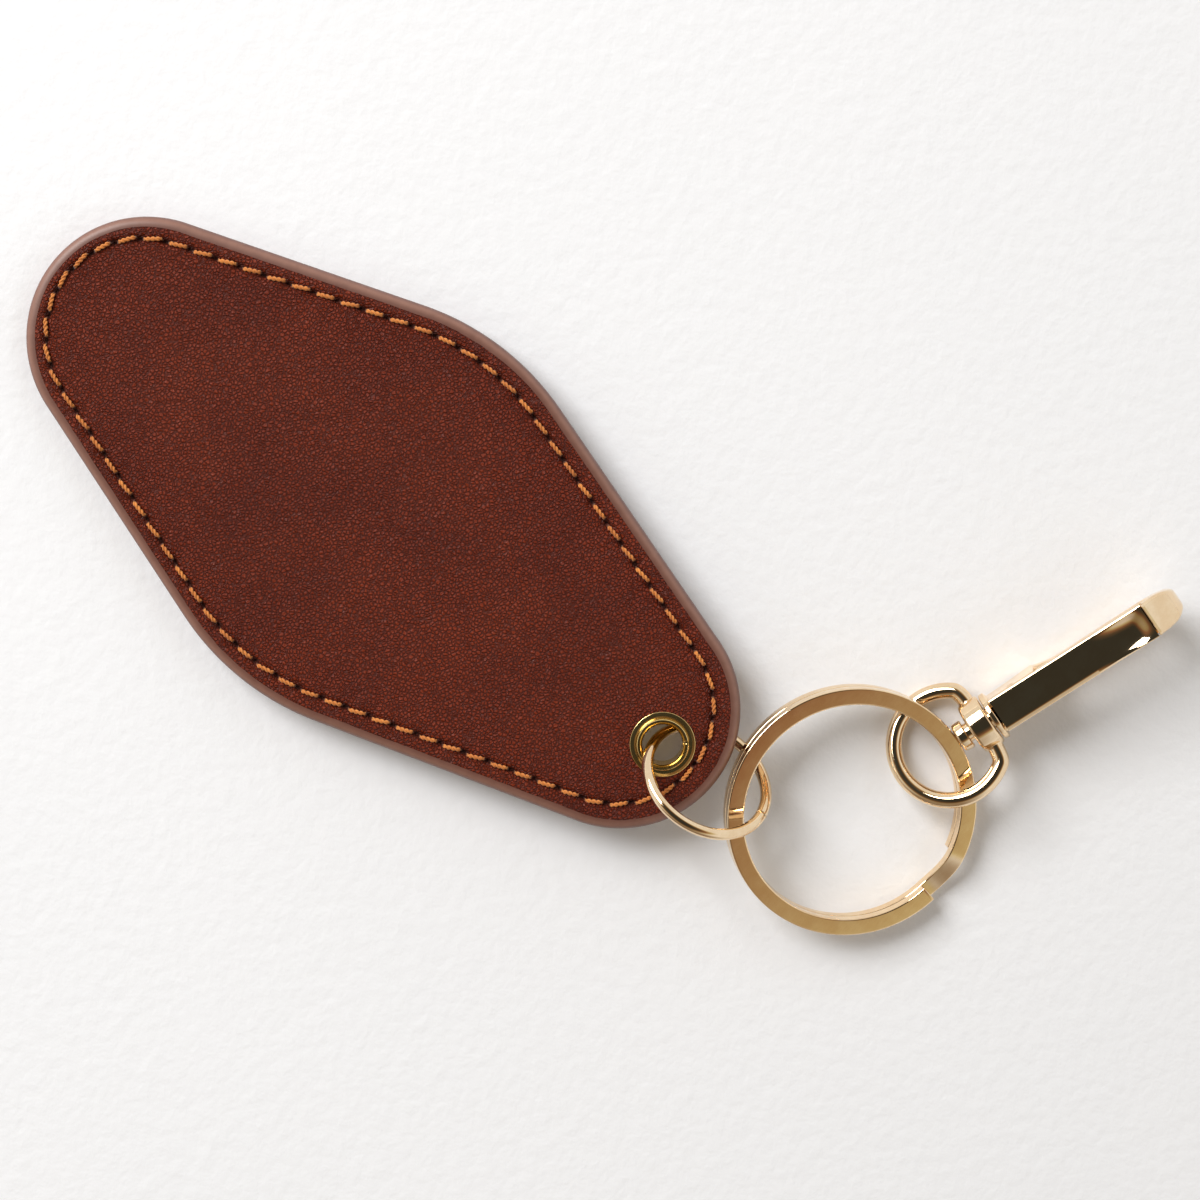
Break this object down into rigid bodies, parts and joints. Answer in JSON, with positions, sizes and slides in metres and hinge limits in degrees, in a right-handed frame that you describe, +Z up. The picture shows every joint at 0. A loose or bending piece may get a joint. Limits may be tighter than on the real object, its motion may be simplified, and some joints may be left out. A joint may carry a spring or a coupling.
{
  "type": "keychain",
  "caption": "Stitched leather key fob in a rounded diamond shape, with an eyelet, a jump ring, a split ring and a swivel snap hook.",
  "frame": {"origin": "on the fob's back face, halfway along its length and width", "axes": "+X along the fob towards its eyelet, +Z up through the front face"},
  "size_m": [0.1313, 0.0779, 0.0141],
  "materials": {
    "leather": "dark red-brown pebbled leather with a soft sheen",
    "edge_paint": "satin brown edge paint",
    "board": "plain bonded fibre board",
    "thread": "waxed golden-orange twisted thread",
    "brass": "polished yellow brass",
    "pale_gold": "polished pale gold plate",
    "spring_steel": "plain spring steel"
  },
  "bodies": {
    "fob": {"back_leather": "leather", "front_leather": "leather", "core_board": "board", "edge_paint": "edge_paint", "back_stitching": "thread", "front_stitching": "thread", "eyelet": "brass", "eyelet_washer": "brass"},
    "jump_ring": {"jump_ring": "pale_gold"},
    "split_ring": {"split_ring": "pale_gold"},
    "swivel_eye": {"swivel_eye": "pale_gold"},
    "hook": {"hook_body": "pale_gold", "swivel_pin": "pale_gold", "gate_rivet": "pale_gold"},
    "gate": {"gate": "pale_gold", "gate_spring": "spring_steel"}
  },
  "joints": [
    {"name": "jump_ring_swing", "type": "hinge", "parent": "fob", "child": "jump_ring", "pos_m": [0.042, 0, 0.00135], "axis": [0, 0, 1], "range_deg": [-48, 18]},
    {"name": "split_ring_turn", "type": "hinge", "parent": "jump_ring", "child": "split_ring", "pos_m": [0.06535, 0.00745, -0.00055], "axis": [0.1724, 0.0209, 0.9848], "range_deg": [-80, 45]},
    {"name": "swivel_eye_lift", "type": "hinge", "parent": "split_ring", "child": "swivel_eye", "pos_m": [0.06831, 0.02128, -0.00053], "axis": [0.918, -0.25, -0.308], "range_deg": [-8, 100]},
    {"name": "hook_swivel", "type": "hinge", "parent": "swivel_eye", "child": "hook", "pos_m": [0.07151, 0.02696, -0.00024], "axis": [0.2873, 0.9517, 0.108], "continuous": true},
    {"name": "gate_open", "type": "hinge", "parent": "hook", "child": "gate", "pos_m": [0.0726, 0.03073, 0.00069], "axis": [-0.951, 0.2969, -0.0866], "range_deg": [0, 13], "stiffness_Nm_per_rad": 0.04, "springref_deg": -17.19, "deforming": ["gate_spring"]}
  ]
}
